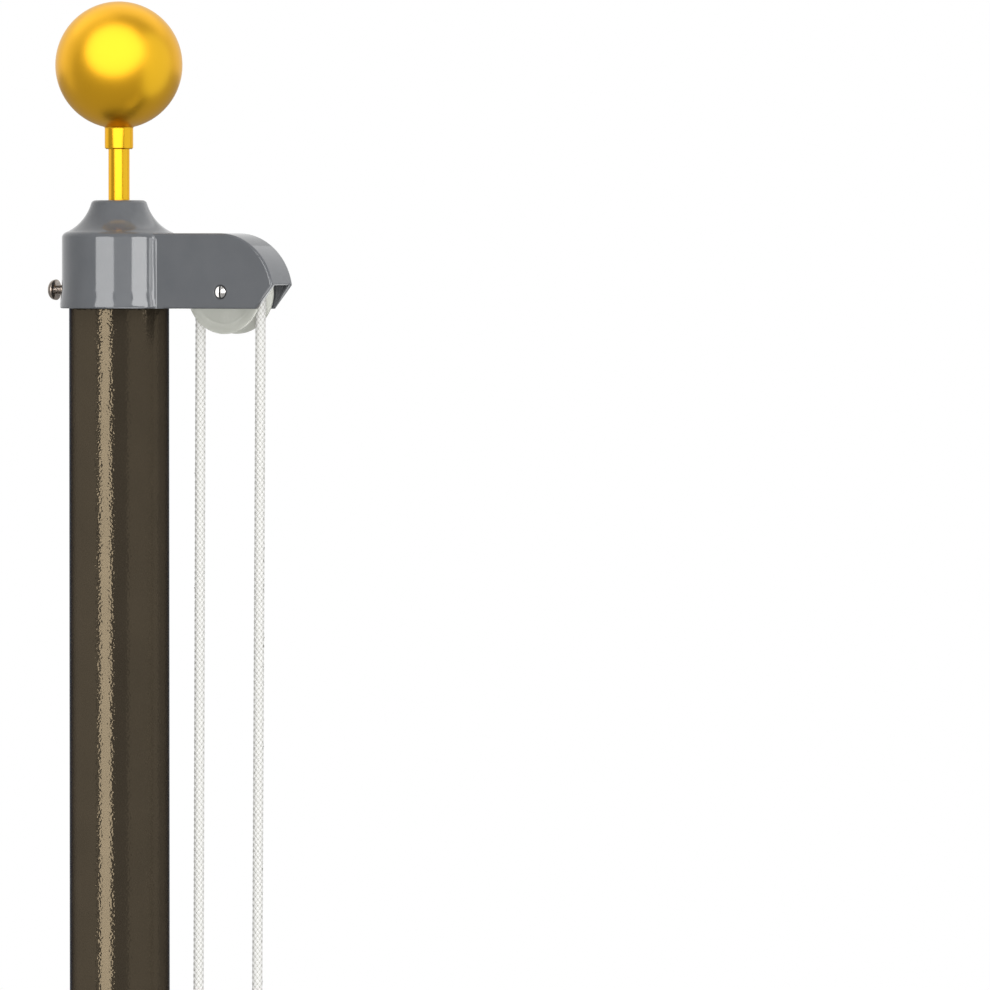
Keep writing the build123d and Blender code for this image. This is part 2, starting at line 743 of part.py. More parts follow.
def round_corners(face, places, radius):
    """The flat face with the corners at these places rounded."""
    corners = [v for v in face.vertices() if any(math.dist((v.X, v.Y), place) < near for place in places)]
    return fillet(corners, radius)


def gate_outline():
    """Flat outline of the springy gate, from its root at the neck to its tip behind the hook's end."""
    tip_top = hook_eye_drop + gate_tip_width / 2
    outer_x = gate_gap - hook_eye_r
    inner_x = outer_x + gate_tip_width
    root_outer = (hook_neck_left, hook_neck_drop)
    root_inner = (hook_heel_shift, hook_heel_drop - hook_heel_r)
    root_top = hook_neck_drop - gate_root_rise
    outline = [
        Spline(root_outer, gate_outer_bend, (outer_x, hook_eye_drop), tangents=[(-0.2, 1), (0, 1)]),
        ThreePointArc((outer_x, hook_eye_drop), ((outer_x + inner_x) / 2, tip_top), (inner_x, hook_eye_drop)),
        Spline((inner_x, hook_eye_drop), gate_inner_bend, root_inner, tangents=[(0, -1), (1, 0)]),
        Line(root_inner, (hook_heel_shift, root_top)),
        Line((hook_heel_shift, root_top), (hook_neck_left, root_top)),
        Line((hook_neck_left, root_top), root_outer),
    ]
    return make_face(outline)


def snap_hook():
    """One-piece moulded snap hook with its ring's centre at the origin and its hook hanging down."""
    body = slab(hook_outline(), Plane.XY, hook_thickness)
    rims = [edge for edge in body.edges() if abs(abs(edge.center().Z) - hook_thickness / 2) < near]
    body = fillet(rims, hook_edge_round)
    gate = slab(gate_outline(), Plane.XY, gate_thickness)
    gate_rims = [edge for edge in gate.edges() if abs(abs(edge.center().Z) - gate_thickness / 2) < near]
    gate = fillet(gate_rims, gate_edge_round)
    return Plane(origin=(0, 0, 0), x_dir=(0, 1, 0), z_dir=(-1, 0, 0)) * (body + gate)


def on_outer_leg(height):
    """Plane square to the outer leg where it passes a height, with its normal up the rope."""
    place = outer_leg_foot + outer_leg_up * ((height - outer_leg_foot.Z) / outer_leg_up.Z)
    return Plane(origin=place, x_dir=(1, 0, 0), z_dir=outer_leg_up)


def ring_bar_offset():
    """How far the ring's bar stands off the rope's centre line, in front of the wrapped turns."""
    return turn_r + rope_r + hitch_ring_gap + hook_thickness / 2


def hitch(height):
    """Three turns of rope round the halyard and the bight that goes through the hook's ring."""
    turns = None
    for step in range(hitch_turns):
        rise = (step - (hitch_turns - 1) / 2) * hitch_turn_pitch
        turn = Pos(0, 0, rise) * Torus(turn_r, rope_r)
        turns = turn if turns is None else turns + turn
    bight = Pos(ring_bar_offset(), 0, 0) * (Rot(90, 0, 0) * Torus(hitch_loop_r, rope_r))
    knot = turns + bight
    knot -= Cylinder(rope_r + rope_clearance, 10 * rope_d)
    return on_outer_leg(height) * knot


def hung_hook(height):
    """A snap hook whose ring hangs from the bight of the hitch at this height."""
    bar_r = (hook_ring_d + hook_ring_hole_d) / 4
    drop = hitch_bar_drop + bar_r
    return on_outer_leg(height) * (Pos(ring_bar_offset(), 0, -drop) * snap_hook())


def write(name, shape):
    shape.label = name
    export_step(shape, os.path.join("parts", name + ".step"))
    print(name, "volume", round(shape.volume))


def main():
    os.makedirs("parts", exist_ok=True)
    write("foot_plug", foot_plug())
    write(section_names[0], bottom_section())
    for index, name in enumerate(section_names[1:], start=1):
        write(name, tube_section(index))
    write("truck_body", truck_body())
    write("truck_screw", truck_screw())
    write("pulley_wheel", pulley_wheel())
    write("pulley_axle", pulley_axle())
    write("finial_rod", finial_rod())
    write("finial_collar", finial_collar())
    write("finial_ball", finial_ball())
    write("cleat", cleat())
    for name, height in zip(["cleat_screw_upper", "cleat_screw_lower"], cleat_screw_heights()):
        write(name, cleat_screw(height))
    write("halyard_over_pulley", halyard_over_pulley())
    write("halyard_inner_leg", leg(inner_leg_top, inner_leg_foot))
    write("halyard_outer_leg", leg(outer_leg_top, outer_leg_foot))
    write("halyard_cleat_turns", halyard_cleat_turns())
    for name, height in [("lower", lower_hook_height), ("upper", lower_hook_height + hook_spacing)]:
        write("hitch_" + name, hitch(height))
        write("snap_hook_" + name, hung_hook(height))


main()
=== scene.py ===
"""Looks of a sectional flagpole: powder-coated tubes, grey cast truck and cleat, gold ball finial,
nylon pulley and snap hooks, and a braided halyard, all in metres round the fixed frame.
"""

import json
import math

import bmesh
import bpy
import numpy as np
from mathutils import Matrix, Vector
from mathutils.geometry import interpolate_bezier


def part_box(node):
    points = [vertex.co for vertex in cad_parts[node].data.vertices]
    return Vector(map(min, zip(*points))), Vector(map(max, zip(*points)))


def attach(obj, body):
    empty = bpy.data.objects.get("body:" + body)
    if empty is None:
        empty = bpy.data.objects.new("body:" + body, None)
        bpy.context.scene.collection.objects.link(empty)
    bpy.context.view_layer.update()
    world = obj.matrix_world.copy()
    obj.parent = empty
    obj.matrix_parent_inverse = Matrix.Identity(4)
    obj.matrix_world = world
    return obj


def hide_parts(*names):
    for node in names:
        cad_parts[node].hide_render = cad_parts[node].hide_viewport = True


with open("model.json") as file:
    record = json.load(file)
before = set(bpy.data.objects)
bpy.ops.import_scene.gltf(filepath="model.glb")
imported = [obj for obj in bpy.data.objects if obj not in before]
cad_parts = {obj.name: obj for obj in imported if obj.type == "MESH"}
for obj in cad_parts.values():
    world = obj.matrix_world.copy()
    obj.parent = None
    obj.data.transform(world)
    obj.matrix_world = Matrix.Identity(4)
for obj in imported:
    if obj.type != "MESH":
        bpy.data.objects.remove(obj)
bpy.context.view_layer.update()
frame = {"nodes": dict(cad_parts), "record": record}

MM = 0.001

# Places that the frame gives
truck_low, truck_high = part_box("truck_body")
cup_depth = 45 * MM
arm_top = truck_low.z + cup_depth
axle_low, axle_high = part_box("pulley_axle")
axle = (axle_low + axle_high) / 2
bottom_low, bottom_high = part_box("bottom_section")
lower_r = (bottom_high.x - bottom_low.x) / 2
cleat_low, cleat_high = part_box("cleat")
cleat_middle = (cleat_low.z + cleat_high.z) / 2

# Welding and shading of meshes
weld_gap = 0.001 * MM
rope_weld_gap = 0.0001 * MM
crease_angle = math.radians(35)
rope_crease_angle = math.radians(60)

# Tube sections
section_names = ["bottom_section", "second_section", "third_section", "fourth_section",
                 "top_section"]
tube_wall = 2 * MM
neck_clearance = 0.3 * MM
shoulder_length = 22 * MM
tube_edge_round = 0.7 * MM
tube_edge_steps = 4
tube_segments = 128
curve_steps = 14

# Halyard: its strands are modelled near the truck and on the cleat, and drawn by its material
# between them; the domes on its ends rise by a share of its radius
rope_r = 3.175 * MM
pitch_r = 20.5 * MM
pulley_steps = 48
head_rope_run = 0.47
fine_gap = 0.6 * MM
fine_sides = 48
plain_r = rope_r - 0.1 * MM
plain_gap = 60 * MM
plain_sides = 32
cap_rise = 0.3

# Braid: its strands each way round, the length of one turn, and how far they stand out; along
# each crossing a strand swells from swell_least by swell_rise
strands = 6
lay = strands * 3.6 * MM
relief_depth = 0.55 * MM
swell_least = 0.55
swell_rise = 0.45
strand_yarns = 5
yarn_depth = 0.06 * MM

# Hitches of rope that hold the snap hooks
coil_turns = 2.5
coil_r = 6.65 * MM
coil_pitch = 6.45 * MM
coil_steps = 160
bight_out = 13.375 * MM
bight_r = 6.98 * MM
bight_steps = 96

# Outside of the truck's cup: read from the side opposite the arm, where X is below cup_side and
# the reach above cup_least_reach, and found again elsewhere within cup_fit
cup_side = -5 * MM
cup_least_reach = 33.5 * MM
cup_fit = 0.04 * MM

# Truck screw
screw_head = 4 * MM
shank_margin = 0.05 * MM
thread_r = 3.0 * MM
thread_root = 2.5 * MM
thread_pitch = 1.0 * MM
thread_sides = 24
thread_steps = 8
thread_overlap = 0.1 * MM
bare_tip = 0.5 * MM

# Driver slot of the axle
slot_width = 1.1 * MM
slot_depth = 0.95 * MM
slot_margin = 0.02 * MM

# Floor and camera, which takes the photograph's own scale at the pole's axis
floor_r = 80
floor_segments = 96
farthest_seen = 1000
photo_side = 990
pixel = 0.6 * MM
axis_px = 119.2
arm_top_px = 233.0
view_azimuth = math.radians(30)
camera_distance = 6.0
sensor = 36.0

view_back = Vector((math.sin(view_azimuth), -math.cos(view_azimuth), 0))
view_right = Vector((math.cos(view_azimuth), math.sin(view_azimuth), 0))
up = Vector((0, 0, 1))


def body_of(name):
    """The body that a CAD node rides on."""
    bodies = frame["record"]["behaviour"]["bodies"]
    return next(body for body, members in bodies.items() if name in members)


def new_object(name, mesh):
    """An object in the scene that shows a mesh."""
    piece = bpy.data.objects.new(name, mesh)
    bpy.context.scene.collection.objects.link(piece)
    return piece


def finished(work, name, crease=crease_angle):
    """A smooth-shaded object from a bmesh, creased where its faces meet at more than an angle."""
    mesh = bpy.data.meshes.new(name)
    work.to_mesh(mesh)
    work.free()
    mesh.polygons.foreach_set("use_smooth", [True] * len(mesh.polygons))
    mesh.set_sharp_from_angle(angle=crease)
    return new_object(name, mesh)


def stand_for(piece, material, *nodes):
    """Gives a piece its material and puts it in the place of CAD nodes of one body."""
    piece.data.materials.clear()
    piece.data.materials.append(material)
    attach(piece, body_of(nodes[0]))
    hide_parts(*nodes)
    return piece


# Materials

def principled(name, color, roughness, **sockets):
    """A new material with its Principled shader's sockets set by name."""
    material = bpy.data.materials.new(name)
    material.use_nodes = True
    shader = material.node_tree.nodes["Principled BSDF"]
    shader.inputs["Base Color"].default_value = (*color, 1)
    shader.inputs["Roughness"].default_value = roughness
    for socket, value in sockets.items():
        shader.inputs[socket.replace("_", " ")].default_value = value
    return material


def node(material, kind, **settings):
    """A new node of a material or a world, its settings and its inputs' values given by name."""
    made = material.node_tree.nodes.new(kind)
    for name, value in settings.items():
        if hasattr(made, name):
            setattr(made, name, value)
        else:
            made.inputs[name.replace("_", " ")].default_value = value
    return made


def math_node(material, operation, first, second=0.0, third=0.0):
    """A Math node's result; each operand is a number or another node's output."""
    made = node(material, "ShaderNodeMath", operation=operation)
    for socket, value in zip(made.inputs, (first, second, third)):
        if isinstance(value, (int, float)):
            socket.default_value = value
        else:
            material.node_tree.links.new(value, socket)
    return made.outputs[0]


def noise(material, scale, detail=2.0):
    """Noise on Object coordinates, as a value from 0 to 1."""
    texture = node(material, "ShaderNodeTexNoise", Scale=scale, Detail=detail)
    coordinates = node(material, "ShaderNodeTexCoord").outputs["Object"]
    material.node_tree.links.new(coordinates, texture.inputs["Vector"])
    return texture.outputs["Fac"]


def bump(material, height, distance, after=None):
    """A normal bumped by a height from 0 to 1, whose full range is the distance in metres, and
    perhaps by another bump before it."""
    made = node(material, "ShaderNodeBump", Strength=1.0, Distance=distance)
    material.node_tree.links.new(height, made.inputs["Height"])
    if after is not None:
        material.node_tree.links.new(after, made.inputs["Normal"])
    return made.outputs["Normal"]


def feed(material, socket, output):
    """Links a node's output to a socket of the material's Principled shader."""
    material.node_tree.links.new(output, material.node_tree.nodes["Principled BSDF"].inputs[socket])


def ramp(material, factor, low, high, start=0.0, end=1.0):
    """A colour or grey that goes from low to high as the factor goes from start to end."""
    made = node(material, "ShaderNodeMix", data_type="RGBA")
    spread = node(material, "ShaderNodeMapRange")
    spread.inputs["From Min"].default_value = start
    spread.inputs["From Max"].default_value = end
    material.node_tree.links.new(factor, spread.inputs["Value"])
    material.node_tree.links.new(spread.outputs["Result"], made.inputs["Factor"])
    made.inputs["A"].default_value = (*low, 1)
    made.inputs["B"].default_value = (*high, 1)
    return made.outputs["Result"]


def mottled(material, scale, detail, low, high):
    """Lets a material's colour wander between two near tones."""
    tone = noise(material, scale, detail)
    feed(material, "Base Color", ramp(material, tone, low, high, 0.3, 0.7))


def uneven_gloss(material, scale, detail, low, high):
    """Lets a material's roughness wander between two values."""
    gloss = noise(material, scale, detail)
    feed(material, "Roughness", ramp(material, gloss, (low,) * 3, (high,) * 3))


def bronze_coat():
    """Gloss bronze coat with metallic flake and orange peel: fine ripples on a slower wave."""
    material = principled("bronze_coat", (0.089, 0.0715, 0.050), 0.09, Metallic=0.35,
                          Specular_IOR_Level=0.0, Specular_Tint=(0.21, 0.26, 0.33, 1))
    mottled(material, 35, 3.0, (0.085, 0.0685, 0.048), (0.093, 0.0745, 0.052))
    wave = bump(material, noise(material, 230, 0.0), 0.035 * MM)
    feed(material, "Normal", bump(material, noise(material, 780, 0.0), 0.125 * MM, wave))
    return material


def truck_coat():
    """Smooth grey coat on the truck casting."""
    material = principled("truck_coat", (0.106, 0.111, 0.119), 0.09, Specular_IOR_Level=0.5)
    mottled(material, 60, 3.0, (0.100, 0.105, 0.113), (0.112, 0.117, 0.125))
    return material


def cleat_coat():
    """Satin grey coat over a slightly grainy casting."""
    material = principled("cleat_coat", (0.185, 0.186, 0.188), 0.34)
    mottled(material, 90, 4.0, (0.17, 0.171, 0.173), (0.20, 0.201, 0.203))
    uneven_gloss(material, 300, 2.0, 0.3, 0.4)
    feed(material, "Normal", bump(material, noise(material, 1400, 3.0), 0.02 * MM))
    return material


def gold_anodised(name, roughness, edge):
    """Gold finish, with its reflection at grazing angles tinted by an edge colour."""
    material = principled(name, (0.90, 0.465, 0.006), roughness, Metallic=1.0, Coat_Weight=0.4,
                          Coat_Roughness=roughness, Specular_Tint=(*edge, 1))
    mottled(material, 25, 3.0, (0.89, 0.455, 0.005), (0.91, 0.475, 0.007))
    return material


def pulley_nylon():
    """Slightly see-through natural nylon."""
    material = principled("pulley_nylon", (0.36, 0.365, 0.33), 0.38, Subsurface_Weight=0.7,
                          Subsurface_Scale=0.005, Subsurface_Radius=(1, 1, 1))
    mottled(material, 90, 2.0, (0.345, 0.35, 0.315), (0.375, 0.38, 0.345))
    return material


def hook_nylon():
    """White nylon of the snap hooks."""
    material = principled("hook_nylon", (0.86, 0.86, 0.86), 0.3, Subsurface_Weight=0.5,
                          Subsurface_Scale=0.003, Subsurface_Radius=(1, 1, 1))
    mottled(material, 200, 3.0, (0.84, 0.84, 0.84), (0.88, 0.88, 0.88))
    feed(material, "Normal", bump(material, noise(material, 1500, 2.0), 0.008 * MM))
    return material


def plug_plastic():
    """Gloss black moulded plastic of the foot plug."""
    material = principled("plug_plastic", (0.010, 0.010, 0.010), 0.16)
    uneven_gloss(material, 250, 3.0, 0.13, 0.20)
    feed(material, "Normal", bump(material, noise(material, 800, 2.0), 0.006 * MM))
    return material


def plated_steel(name, color):
    """Smooth plated steel of the screws and the axle."""
    material = principled(name, color, 0.12, Metallic=1.0)
    uneven_gloss(material, 900, 3.0, 0.09, 0.16)
    return material


def braid_cell(material):
    """Where a point of the rope lies in its strand: its place across and along it, each 0 to 1.
    The UV map holds the turn round the rope and the metres along it."""
    uv = node(material, "ShaderNodeSeparateXYZ")
    coordinates = node(material, "ShaderNodeTexCoord").outputs["UV"]
    material.node_tree.links.new(coordinates, uv.inputs["Vector"])
    turn = math_node(material, "MULTIPLY", uv.outputs["X"], float(strands))
    rise = math_node(material, "MULTIPLY", uv.outputs["Y"], strands / lay)
    right = math_node(material, "ADD", turn, rise)
    left = math_node(material, "SUBTRACT", turn, rise)
    cells = [math_node(material, "FLOOR", way) for way in (right, left)]
    odd = math_node(material, "FLOORED_MODULO", math_node(material, "ADD", *cells), 2.0)
    right_part = math_node(material, "FRACT", right)
    left_part = math_node(material, "FRACT", left)
    swing = math_node(material, "SUBTRACT", right_part, left_part)
    across = math_node(material, "MULTIPLY_ADD", odd, swing, left_part)
    both = math_node(material, "ADD", right_part, left_part)
    return across, math_node(material, "SUBTRACT", both, across)


def braided_white(name, strand_depth):
    """White braided polyester: strands and their yarns, with painted shade in grey between the
    strands. The strand depth is 0 for a rope whose strands are modelled."""
    material = principled(name, (0.86, 0.86, 0.85), 0.75)
    across, along = braid_cell(material)
    offset = math_node(material, "MULTIPLY_ADD", across, 2.0, -1.0)
    crown = math_node(material, "SUBTRACT", 1.0, math_node(material, "MULTIPLY", offset, offset))
    swell = math_node(material, "SINE", math_node(material, "MULTIPLY", along, math.pi))
    swell = math_node(material, "MULTIPLY_ADD", swell, swell_rise, swell_least)
    height = math_node(material, "MULTIPLY", math_node(material, "POWER", crown, 0.8), swell)
    yarns = math_node(material, "MULTIPLY", across, 2 * strand_yarns * math.pi)
    yarns = math_node(material, "MULTIPLY_ADD", math_node(material, "COSINE", yarns), 0.5, 0.5)
    # Painted shade: grey where the relief is low, in the grooves between strands, and white on
    # their crowns
    tone = ramp(material, height, (0.53, 0.525, 0.475), (0.88, 0.875, 0.85), 0.15, 0.6)
    feed(material, "Base Color", tone)
    surface = bump(material, yarns, yarn_depth)
    if strand_depth:
        surface = bump(material, height, strand_depth, surface)
    feed(material, "Normal", surface)
    return material


bronze = bronze_coat()
truck_grey = truck_coat()
cleat_grey = cleat_coat()
gold_satin = gold_anodised("gold_satin", 0.33, (0.8, 0.75, 0.6))
gold_bright = gold_anodised("gold_bright", 0.2, (0.8, 0.7, 0.4))
pulley_white = pulley_nylon()
hook_white = hook_nylon()
plug_black = plug_plastic()
bright_steel = plated_steel("bright_steel", (0.66, 0.64, 0.62))
dark_steel = plated_steel("dark_steel", (0.36, 0.31, 0.27))
# Painted shade: a near-black material that stands for the shade in the axle's driver slot
slot_painted_shade = principled("slot_painted_shade", (0.02, 0.02, 0.02), 0.5)
rope_fine = braided_white("rope_fine", 0)
rope_plain = braided_white("rope_plain", relief_depth)


# CAD nodes whose own shape is right

def welded_copy(name, material, weighing="FACE_AREA"):
    """A welded and smooth-shaded copy of a CAD node, standing for it, with its normals weighed by
    the area or the corner angle of its faces."""
    work = bmesh.new()
    work.from_mesh(frame["nodes"][name].data)
    bmesh.ops.remove_doubles(work, verts=work.verts, dist=weld_gap)
    piece = finished(work, name + "_finish")
    weighted = piece.modifiers.new("flat faces stay flat", "WEIGHTED_NORMAL")
    weighted.keep_sharp = True
    weighted.mode = weighing
    weighted.weight = 50
    return stand_for(piece, material, name)


def corner_data(mesh):
    """The normal and the vertex number at each face corner of a mesh."""
    normals = np.array([corner.vector for corner in mesh.corner_normals])
    return normals, np.array([loop.vertex_index for loop in mesh.loops])


def made_round(piece, low, high):
    """Bakes a piece's modifiers, and points its normals straight out from the pole's axis where
    its outside is turned on that axis, between two heights. It leaves the normals that are far
    from straight out or nearly upright."""
    least_alike, least_level = 0.97, 0.3
    graph = bpy.context.evaluated_depsgraph_get()
    mesh = bpy.data.meshes.new_from_object(
        piece.evaluated_get(graph), preserve_all_data_layers=True, depsgraph=graph)
    piece.modifiers.clear()
    piece.data = mesh
    spots = np.array([vertex.co for vertex in mesh.vertices])
    heights = spots[:, 2]
    reach = np.hypot(spots[:, 0], spots[:, 1])
    behind = (spots[:, 0] < cup_side) & (reach > cup_least_reach)
    behind &= (heights > low) & (heights < high)
    order = np.argsort(heights[behind])
    outline = np.interp(heights, heights[behind][order], reach[behind][order])
    turned_on = (np.abs(reach - outline) < cup_fit) & (heights >= low) & (heights <= high)
    corners, at = corner_data(mesh)
    out = spots[at, :2] / np.maximum(reach[at], 1e-9)[:, None]
    level = np.hypot(corners[:, 0], corners[:, 1])
    agreed = (corners[:, :2] * out).sum(1) > least_alike * level
    chosen = turned_on[at] & agreed & (level > least_level)
    corners[chosen, :2] = out[chosen] * level[chosen][:, None]
    mesh.normals_split_custom_set(corners.tolist())
    return piece


def made_flat(piece):
    """Points a baked piece's normals straight sideways where its upright side walls are flat: at
    the corners of faces that look sideways, where the normal is near to it already."""
    flat_face, near_corner = 0.99995, 0.9
    mesh = piece.data
    flat = np.zeros(len(mesh.vertices), bool)
    for face in mesh.polygons:
        if abs(face.normal.y) > flat_face:
            flat[list(face.vertices)] = True
    corners, at = corner_data(mesh)
    chosen = flat[at] & (np.abs(corners[:, 1]) > near_corner)
    corners[chosen] = np.sign(corners[chosen, 1])[:, None] * np.array([0.0, 1.0, 0.0])
    mesh.normals_split_custom_set(corners.tolist())
    return piece


def paint_slot_shade(pin):
    """Paints shade into the driver slot in the axle's near head: its floor and walls take a
    near-black material.
    """
    pin.data.materials.append(slot_painted_shade)
    for face in pin.data.polygons:
        aside = abs(face.center.x - axle.x)
        if face.center.y < axle_low.y + slot_depth and aside < slot_width / 2 + slot_margin:
            face.material_index = 1
    return pin


gold_pieces = [welded_copy("finial_ball", gold_satin)]
gold_pieces += [welded_copy(name, gold_bright) for name in ("finial_collar", "finial_rod")]
truck = welded_copy("truck_body", truck_grey)
truck_pieces = [made_flat(made_round(truck, truck_low.z - MM, arm_top))]
truck_screw = welded_copy("truck_screw", dark_steel)
axle_pin = paint_slot_shade(welded_copy("pulley_axle", bright_steel))
small_pieces = [
    truck_screw,
    axle_pin,
    welded_copy("cleat", cleat_grey, weighing="CORNER_ANGLE"),
    welded_copy("cleat_screw_upper", bright_steel),
    welded_copy("cleat_screw_lower", bright_steel),
    welded_copy("foot_plug", plug_black),
]
pulley_pieces = [welded_copy("pulley_wheel", pulley_white)]
hook_pieces = [welded_copy(name, hook_white) for name in ("snap_hook_lower", "snap_hook_upper")]


# Tube sections

def s_curve(foot, head):
    """Points of the swage between two radii, each end given as a radius and a height."""
    middle = (foot[1] + head[1]) / 2
    corners = [(foot[0], foot[1]), (foot[0], middle), (head[0], middle), (head[0], head[1])]
    line = interpolate_bezier(*[Vector((r, 0, z)) for r, z in corners], curve_steps)
    return [(point.x, point.z) for point in line]


def edge_round(radius, height, amount):
    """Points of a rounded outer edge at the top of a tube."""
    turns = [math.radians(90) * step / tube_edge_steps for step in range(tube_edge_steps + 1)]
    return [(radius - amount + amount * math.cos(t), height - amount + amount * math.sin(t))
            for t in turns]


def tube_profile(index):
    """Closed outline of one section's wall as radii and heights."""
    low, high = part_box(section_names[index])
    outer = (high.x - low.x) / 2
    if index + 1 == len(section_names):
        outside = [(outer, low.z), *edge_round(outer, high.z, tube_edge_round)]
        return [(outer - tube_wall, low.z), *outside, (outer - tube_wall, high.z)]
    next_low, next_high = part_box(section_names[index + 1])
    neck = (next_high.x - next_low.x) / 2 - tube_wall - neck_clearance
    shoulder = next_low.z - shoulder_length
    outside = s_curve((outer, shoulder), (neck, next_low.z))
    inside = s_curve((outer - tube_wall, shoulder), (neck - tube_wall, next_low.z))
    lip = edge_round(neck, high.z, tube_edge_round)
    foot = [(outer - tube_wall, low.z), (outer, low.z)]
    return [*foot, *outside, *lip, (neck - tube_wall, high.z), *reversed(inside)]


def turned(profile, name):
    """A closed outline of radii and heights spun round the pole's axis."""
    work = bmesh.new()
    verts = [work.verts.new((r, 0, z)) for r, z in profile]
    edges = [work.edges.new(pair) for pair in zip(verts, verts[1:] + verts[:1])]
    bmesh.ops.spin(work, geom=verts + edges, cent=(0, 0, 0), axis=(0, 0, 1), angle=math.tau,
                   steps=tube_segments, use_merge=True)
    bmesh.ops.recalc_face_normals(work, faces=work.faces)
    return finished(work, name)


tube_pieces = []
for index, section in enumerate(section_names):
    tube = turned(tube_profile(index), section + "_tube")
    tube_pieces.append(stand_for(tube, bronze, section))


# Halyard

def braid_relief(turn, along):
    """How far the surface stands out, from 0 to 1, at turns round the rope and metres along it."""
    right = strands * (turn + along / lay)
    left = strands * (turn - along / lay)
    odd = (np.floor(right) + np.floor(left)) % 2
    right_part = right % 1
    left_part = left % 1
    across = np.where(odd > 0.5, right_part, left_part)
    lengthwise = np.where(odd > 0.5, left_part, right_part)
    crown = np.sqrt(np.clip(1 - (2 * across - 1) ** 2, 0, 1))
    return crown * (swell_least + swell_rise * np.sin(np.pi * lengthwise))


def resampled(points, gap):
    """Evenly spaced points on a line through the given ones, and the line's length."""
    points = np.array(points, float)
    steps = np.linalg.norm(np.diff(points, axis=0), axis=1)
    travelled = np.concatenate([[0], np.cumsum(steps)])
    count = max(2, round(travelled[-1] / gap) + 1)
    wanted = np.linspace(0, travelled[-1], count)
    line = np.stack([np.interp(wanted, travelled, points[:, axis]) for axis in range(3)], 1)
    return line, travelled[-1]


def frames_along(line):
    """Two directions square to the line at each of its points, turned as little as possible."""
    forward = np.gradient(line, axis=0)
    forward /= np.linalg.norm(forward, axis=1)[:, None]
    side = np.cross(forward[0], (0.0, 1.0, 0.0) if abs(forward[0][1]) < 0.9 else (1.0, 0.0, 0.0))
    sides = []
    for direction in forward:
        side = side - direction * np.dot(side, direction)
        side /= np.linalg.norm(side)
        sides.append(side)
    sides = np.array(sides)
    return sides, np.cross(forward, sides)


def thread_relief(turn, along):
    """How far a screw's thread stands out, from 0 to 1, at turns round it and metres along it."""
    phase = (along / thread_pitch + turn) % 1
    return 1 - np.abs(2 * phase - 1)


def rope(name, points, gap, sides, relief, radius=rope_r, pattern=braid_relief):
    """A rope or rod along a line of points: a grid wrapped round it, with a pattern that the relief
    raises, and domed ends."""
    line, length = resampled(points, gap)
    first, second = frames_along(line)
    work = bmesh.new()
    work.loops.layers.uv.new("braid")
    bmesh.ops.create_grid(work, x_segments=sides, y_segments=len(line) - 1, size=1, calc_uvs=True)
    mesh = bpy.data.meshes.new(name)
    work.to_mesh(mesh)
    flat = np.empty(len(mesh.vertices) * 3)
    mesh.vertices.foreach_get("co", flat)
    flat = flat.reshape(-1, 3)
    turn = (flat[:, 0] + 1) / 2
    share = (flat[:, 1] + 1) / 2
    ring = np.rint(share * (len(line) - 1)).astype(int)
    reach = np.full(len(turn), radius)
    if relief:
        reach = radius - relief * (1 - pattern(turn, share * length))
    around = first[ring] * np.cos(math.tau * turn)[:, None]
    around += second[ring] * np.sin(math.tau * turn)[:, None]
    spots = line[ring] + around * reach[:, None]
    mesh.vertices.foreach_set("co", spots.astype(np.float32).ravel())
    uv = np.empty(len(mesh.loops) * 2, np.float32)
    layer = mesh.uv_layers["braid"].uv
    layer.foreach_get("vector", uv)
    uv[1::2] *= length
    layer.foreach_set("vector", uv)
    work.clear()
    work.from_mesh(mesh)
    bmesh.ops.remove_doubles(work, verts=work.verts, dist=rope_weld_gap)
    bmesh.ops.holes_fill(work, edges=[edge for edge in work.edges if edge.is_boundary], sides=0)
    bmesh.ops.recalc_face_normals(work, faces=work.faces)
    caps = [face for face in work.faces if len(face.verts) > 4]
    bmesh.ops.poke(work, faces=caps, offset=cap_rise * radius)
    bpy.data.meshes.remove(mesh)
    return finished(work, name, rope_crease_angle)


def on_cleat(depth, side, rise):
    """A point by its depth off the pole, its offset sideways and its rise over the cleat's middle,
    all in millimetres."""
    return Vector((lower_r + depth * MM, side * MM, cleat_middle + rise * MM))


cleat_route = [on_cleat(*spot) for spot in (
    (9, -23, 45), (7, -22, 24), (6, -15, -7), (6, -14.2, -26), (6, -7, -40), (6, 7, -40),
    (7, 14.6, -25), (14.6, 11, -13), (14.6, -11, 13), (8, -14.8, 25), (8, -7, 40), (8, 7, 40),
    (8, 14.8, 25), (15, 12, 15), (21.6, 2.6, 3.2), (21.6, -2.6, -3.2), (15, -12, -15),
    (13, -15.2, -28), (13, -7, -48), (13, 7, -48), (13.2, 18.2, -31), (13, 19.6, -5),
    (13, 21.4, 45),
)]
inner_foot, outer_foot = cleat_route[0], cleat_route[-1]
inner_top = Vector((axle.x - pitch_r, 0, axle.z))
outer_top = Vector((axle.x + pitch_r, 0, axle.z))
inner_up = (inner_top - inner_foot).normalized()
outer_up = (outer_top - outer_foot).normalized()


def smooth_line(points):
    """Points read from the NURBS spline that has the given points as its controls."""
    curve = bpy.data.curves.new("route", "CURVE")
    curve.dimensions = "3D"
    curve.resolution_u = 12
    spline = curve.splines.new("NURBS")
    spline.points.add(len(points) - 1)
    for control, point in zip(spline.points, points):
        control.co = (*point, 1)
    spline.order_u = 3
    spline.use_endpoint_u = True
    holder = bpy.data.objects.new("route", curve)
    mesh = bpy.data.meshes.new_from_object(holder)
    line = [vertex.co.copy() for vertex in mesh.vertices]
    bpy.data.objects.remove(holder)
    bpy.data.curves.remove(curve)
    bpy.data.meshes.remove(mesh)
    return line


